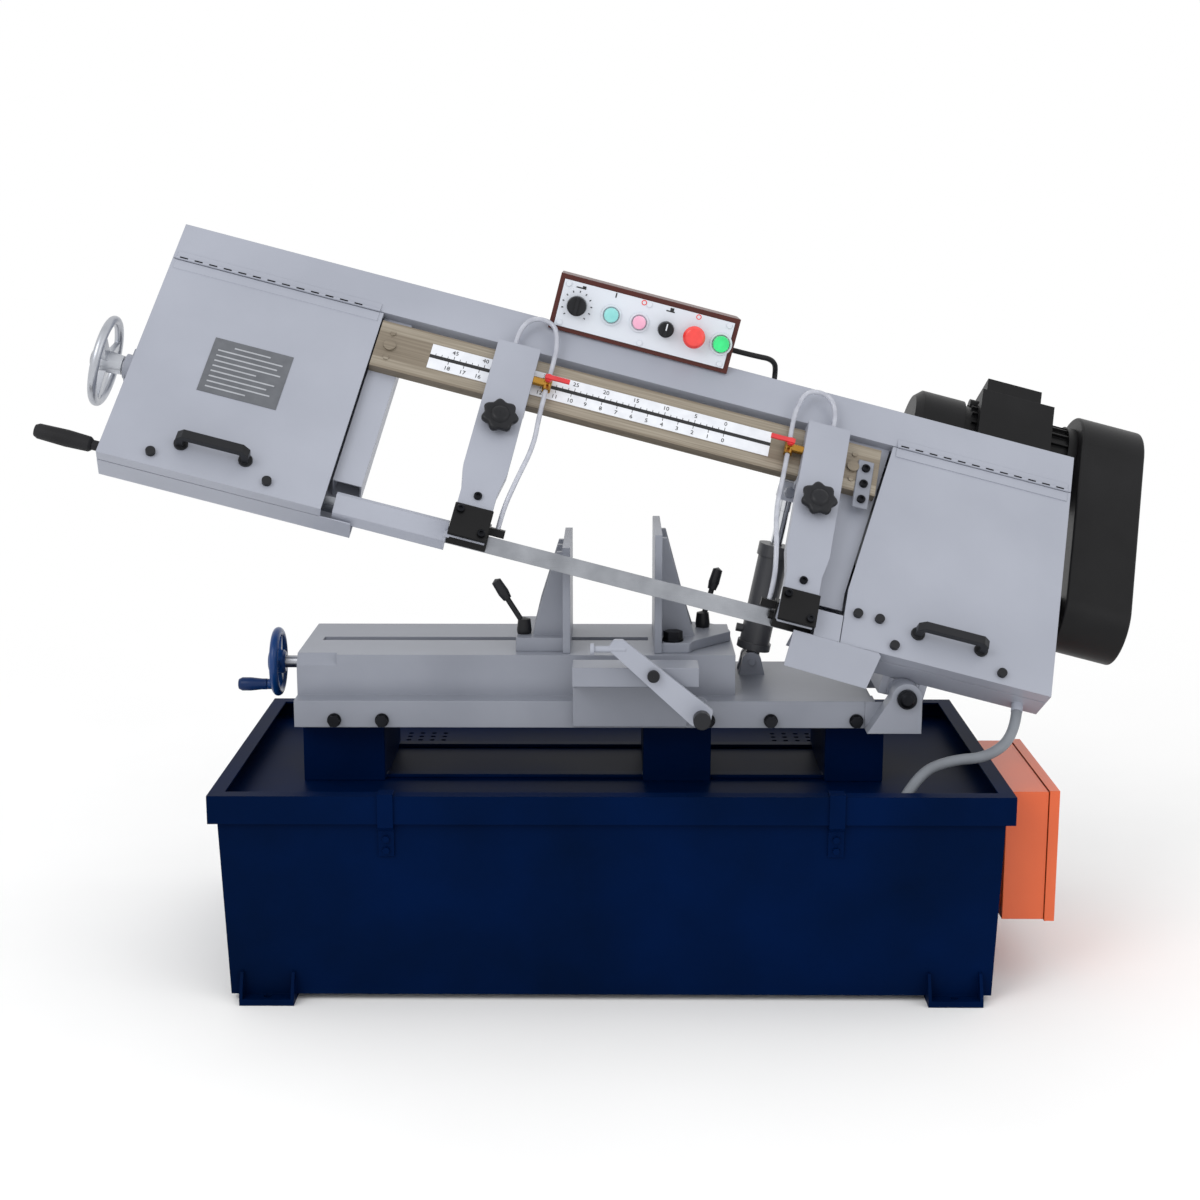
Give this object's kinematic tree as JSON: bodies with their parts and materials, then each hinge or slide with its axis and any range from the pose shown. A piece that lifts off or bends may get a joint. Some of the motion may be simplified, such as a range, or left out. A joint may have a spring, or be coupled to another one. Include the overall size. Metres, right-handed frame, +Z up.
{
  "type": "horizontal band saw",
  "caption": "Horizontal metal-cutting band saw with a leaning swing bow, vise, guide arms and a coolant tank base.",
  "frame": {"origin": "centre of the four floor anchor holes, on the floor", "axes": "+Z up; +X towards the bow's hinge and the electrical cabinet; -Y is the operator's front"},
  "size_m": [1.8101, 0.6944, 1.175],
  "materials": {
    "tank": "satin dark navy paint",
    "chip_tray": "satin dark navy paint",
    "tray_straps": "satin dark navy paint",
    "electrical_cabinet": "satin orange paint",
    "cabinet_door": "satin orange paint",
    "bed_pedestals": "satin dark navy paint",
    "bed": "grey paint with machined table",
    "bed_bolts": "black oxide steel",
    "work_shelf": "grey paint",
    "stop_arm": "steel",
    "stop_knob": "black moulded",
    "movable_jaw": "grey paint",
    "vise_screw": "steel",
    "vise_handwheel": "blue paint",
    "crank_grip": "deep blue moulded",
    "left_lever": "black",
    "right_lever": "black",
    "fixed_jaw": "grey paint",
    "swivel_bolt": "black oxide steel",
    "pivot_shaft": "dark steel",
    "cylinder_barrel": "dark grey paint",
    "cylinder_rod": "hard chrome",
    "bow_frame": "satin light grey paint",
    "hinge_arm": "satin light grey paint",
    "guide_bar": "tan paint with a scale plate",
    "gearbox": "black paint",
    "motor": "black paint",
    "belt_cover": "black paint",
    "blade": "spring steel",
    "right_guard": "satin light grey paint",
    "bow_grip": "black moulded",
    "control_box": "dark red-brown paint",
    "control_panel": "white faceplate",
    "control_cable": "black jacket",
    "drain_hose": "grey hose",
    "left_door": "satin light grey paint",
    "right_door": "satin light grey paint",
    "left_handle": "black moulded",
    "right_handle": "black moulded",
    "idler_wheel": "machined cast iron",
    "drive_wheel": "machined cast iron",
    "left_arm": "satin light grey paint",
    "right_arm": "satin light grey paint",
    "left_guide_block": "black",
    "right_guide_block": "black",
    "left_valve": "brass",
    "right_valve": "brass",
    "left_valve_lever": "red",
    "right_valve_lever": "red",
    "left_hose": "clear tube",
    "right_hose": "clear tube",
    "left_knob": "black moulded",
    "right_knob": "black moulded",
    "tension_wheel": "cast aluminium",
    "speed_knob": "black",
    "start_button": "cyan lens",
    "jog_button": "pink lens",
    "mode_knob": "black",
    "stop_button": "red",
    "pump_button": "green lens"
  },
  "bodies": {
    "base": {"tank": "tank", "chip_tray": "chip_tray", "tray_straps": "tray_straps", "electrical_cabinet": "electrical_cabinet", "bed_pedestals": "bed_pedestals", "bed": "bed", "bed_bolts": "bed_bolts", "work_shelf": "work_shelf", "pivot_shaft": "pivot_shaft", "swivel_bolt": "swivel_bolt"},
    "cabinet_door": {"cabinet_door": "cabinet_door"},
    "stop_arm": {"stop_arm": "stop_arm"},
    "stop_knob": {"stop_knob": "stop_knob"},
    "movable_jaw": {"movable_jaw": "movable_jaw"},
    "vise_screw": {"vise_screw": "vise_screw", "vise_handwheel": "vise_handwheel"},
    "crank_grip": {"crank_grip": "crank_grip"},
    "left_lever": {"left_lever": "left_lever"},
    "fixed_jaw": {"fixed_jaw": "fixed_jaw"},
    "right_lever": {"right_lever": "right_lever"},
    "cylinder_barrel": {"cylinder_barrel": "cylinder_barrel"},
    "cylinder_rod": {"cylinder_rod": "cylinder_rod"},
    "bow": {"bow_frame": "bow_frame", "hinge_arm": "hinge_arm", "guide_bar": "guide_bar", "gearbox": "gearbox", "motor": "motor", "belt_cover": "belt_cover", "blade": "blade", "right_guard": "right_guard", "bow_grip": "bow_grip", "control_box": "control_box", "control_panel": "control_panel", "control_cable": "control_cable", "drain_hose": "drain_hose"},
    "left_door": {"left_door": "left_door", "left_handle": "left_handle"},
    "right_door": {"right_door": "right_door", "right_handle": "right_handle"},
    "idler_wheel": {"idler_wheel": "idler_wheel"},
    "drive_wheel": {"drive_wheel": "drive_wheel"},
    "left_arm": {"left_arm": "left_arm", "left_guide_block": "left_guide_block", "left_valve": "left_valve", "left_hose": "left_hose"},
    "right_arm": {"right_arm": "right_arm", "right_guide_block": "right_guide_block", "right_valve": "right_valve", "right_hose": "right_hose"},
    "left_knob": {"left_knob": "left_knob"},
    "right_knob": {"right_knob": "right_knob"},
    "left_valve_lever": {"left_valve_lever": "left_valve_lever"},
    "right_valve_lever": {"right_valve_lever": "right_valve_lever"},
    "tension_wheel": {"tension_wheel": "tension_wheel"},
    "speed_knob": {"speed_knob": "speed_knob"},
    "start_button": {"start_button": "start_button"},
    "jog_button": {"jog_button": "jog_button"},
    "mode_knob": {"mode_knob": "mode_knob"},
    "stop_button": {"stop_button": "stop_button"},
    "pump_button": {"pump_button": "pump_button"}
  },
  "joints": [
    {"name": "bow_lift", "type": "hinge", "parent": "base", "child": "bow", "pos_m": [0.457, 0, 0.4555], "axis": [0, 1, 0], "range_deg": [-14.6, 20]},
    {"name": "left_door_swing", "type": "hinge", "parent": "bow", "child": "left_door", "pos_m": [-0.53748, 0.05407, 1.08084], "axis": [-0.9677, 0, 0.2521], "range_deg": [0, 105]},
    {"name": "right_door_swing", "type": "hinge", "parent": "bow", "child": "right_door", "pos_m": [0.60441, 0.05407, 0.7834], "axis": [-0.9677, 0, 0.2521], "range_deg": [0, 105]},
    {"name": "cabinet_door_swing", "type": "hinge", "parent": "base", "child": "cabinet_door", "pos_m": [0.6985, -0.202, 0.205], "axis": [0, 0, -1], "range_deg": [0, 100]},
    {"name": "vise_slide", "type": "slide", "parent": "base", "child": "movable_jaw", "axis": [-1, 0, 0], "range_m": [-0.13, 0.33]},
    {"name": "vise_screw_turn", "type": "hinge", "parent": "base", "child": "vise_screw", "pos_m": [-0.548, 0, 0.469], "axis": [1, 0, 0], "continuous": true},
    {"name": "crank_spin", "type": "hinge", "parent": "vise_screw", "child": "crank_grip", "pos_m": [-0.58, -0.034, 0.439], "axis": [1, 0, 0], "continuous": true},
    {"name": "left_lever_turn", "type": "hinge", "parent": "movable_jaw", "child": "left_lever", "pos_m": [-0.14, -0.06, 0.53], "axis": [0, 0, 1], "range_deg": [-60, 60]},
    {"name": "jaw_swivel", "type": "hinge", "parent": "base", "child": "fixed_jaw", "pos_m": [0.098, -0.086, 0.52], "axis": [0, 0, -1], "range_deg": [0, 30]},
    {"name": "right_lever_turn", "type": "hinge", "parent": "fixed_jaw", "child": "right_lever", "pos_m": [0.15, 0.02, 0.524], "axis": [0, 0, 1], "range_deg": [-60, 60]},
    {"name": "stop_swing", "type": "hinge", "parent": "base", "child": "stop_arm", "pos_m": [0.137, -0.24, 0.442], "axis": [0, 1, 0], "range_deg": [-15, 70]},
    {"name": "stop_knob_turn", "type": "hinge", "parent": "base", "child": "stop_knob", "pos_m": [0.137, -0.266, 0.442], "axis": [0, 1, 0], "continuous": true},
    {"name": "ram_tilt", "type": "hinge", "parent": "base", "child": "cylinder_barrel", "pos_m": [0.232, 0.045, 0.465], "axis": [0, 1, 0], "range_deg": [-30, 30]},
    {"name": "ram_stroke", "type": "slide", "parent": "cylinder_barrel", "child": "cylinder_rod", "axis": [0.1984, 0, 0.9801], "range_m": [-0.12, 0.16]},
    {"name": "drive_spin", "type": "hinge", "parent": "bow", "child": "drive_wheel", "pos_m": [0.5416, -0.04215, 0.62419], "axis": [-0.162, 0.766, -0.622], "continuous": true},
    {"name": "idler_spin", "type": "hinge", "parent": "bow", "child": "idler_wheel", "pos_m": [-0.57837, -0.04215, 0.91592], "axis": [-0.162, 0.766, -0.622], "continuous": true},
    {"name": "left_arm_slide", "type": "slide", "parent": "bow", "child": "left_arm", "axis": [0.9677, 0, -0.2521], "range_m": [-0.11, 0.2]},
    {"name": "right_arm_slide", "type": "slide", "parent": "bow", "child": "right_arm", "axis": [0.9677, 0, -0.2521], "range_m": [-0.09, 0]},
    {"name": "left_knob_turn", "type": "hinge", "parent": "left_arm", "child": "left_knob", "pos_m": [-0.17616, -0.06691, 0.87713], "axis": [-0.162, 0.766, -0.622], "range_deg": [-180, 180]},
    {"name": "right_knob_turn", "type": "hinge", "parent": "right_arm", "child": "right_knob", "pos_m": [0.32608, -0.06691, 0.74631], "axis": [-0.162, 0.766, -0.622], "range_deg": [-180, 180]},
    {"name": "left_valve_turn", "type": "hinge", "parent": "left_arm", "child": "left_valve_lever", "pos_m": [-0.10034, -0.00455, 0.93417], "axis": [-0.162, 0.766, -0.622], "range_deg": [0, 90]},
    {"name": "right_valve_turn", "type": "hinge", "parent": "right_arm", "child": "right_valve_lever", "pos_m": [0.28771, -0.00455, 0.83308], "axis": [-0.162, 0.766, -0.622], "range_deg": [-90, 0]},
    {"name": "tension_turn", "type": "hinge", "parent": "bow", "child": "tension_wheel", "pos_m": [-0.79514, -0.04858, 0.96447], "axis": [0.9677, 0, -0.2521], "continuous": true},
    {"name": "speed_knob_turn", "type": "hinge", "parent": "bow", "child": "speed_knob", "pos_m": [-0.05723, 0.083, 1.04413], "axis": [0, 1, 0], "range_deg": [-135, 135]},
    {"name": "start_button_push", "type": "slide", "parent": "bow", "child": "start_button", "axis": [0, 1, 0], "range_m": [0, 0.003], "stiffness_N_per_m": 400},
    {"name": "jog_button_push", "type": "slide", "parent": "bow", "child": "jog_button", "axis": [0, 1, 0], "range_m": [0, 0.003], "stiffness_N_per_m": 400},
    {"name": "mode_knob_turn", "type": "hinge", "parent": "bow", "child": "mode_knob", "pos_m": [0.08793, 0.083, 1.00632], "axis": [0, 1, 0], "range_deg": [-45, 45]},
    {"name": "stop_button_push", "type": "slide", "parent": "bow", "child": "stop_button", "axis": [0, 1, 0], "range_m": [0, 0.003], "stiffness_N_per_m": 400},
    {"name": "pump_button_push", "type": "slide", "parent": "bow", "child": "pump_button", "axis": [0, 1, 0], "range_m": [0, 0.003], "stiffness_N_per_m": 400}
  ],
  "couplings": [
    {"joint": "idler_spin", "follows": "drive_spin", "ratio": 1},
    {"joint": "vise_screw_turn", "follows": "vise_slide", "rad_per_m": 1047.2},
    {"joint": "ram_tilt", "follows": "bow_lift", "ratio": 0.85173},
    {"joint": "ram_stroke", "follows": "bow_lift", "m_per_rad": 0.2199}
  ]
}
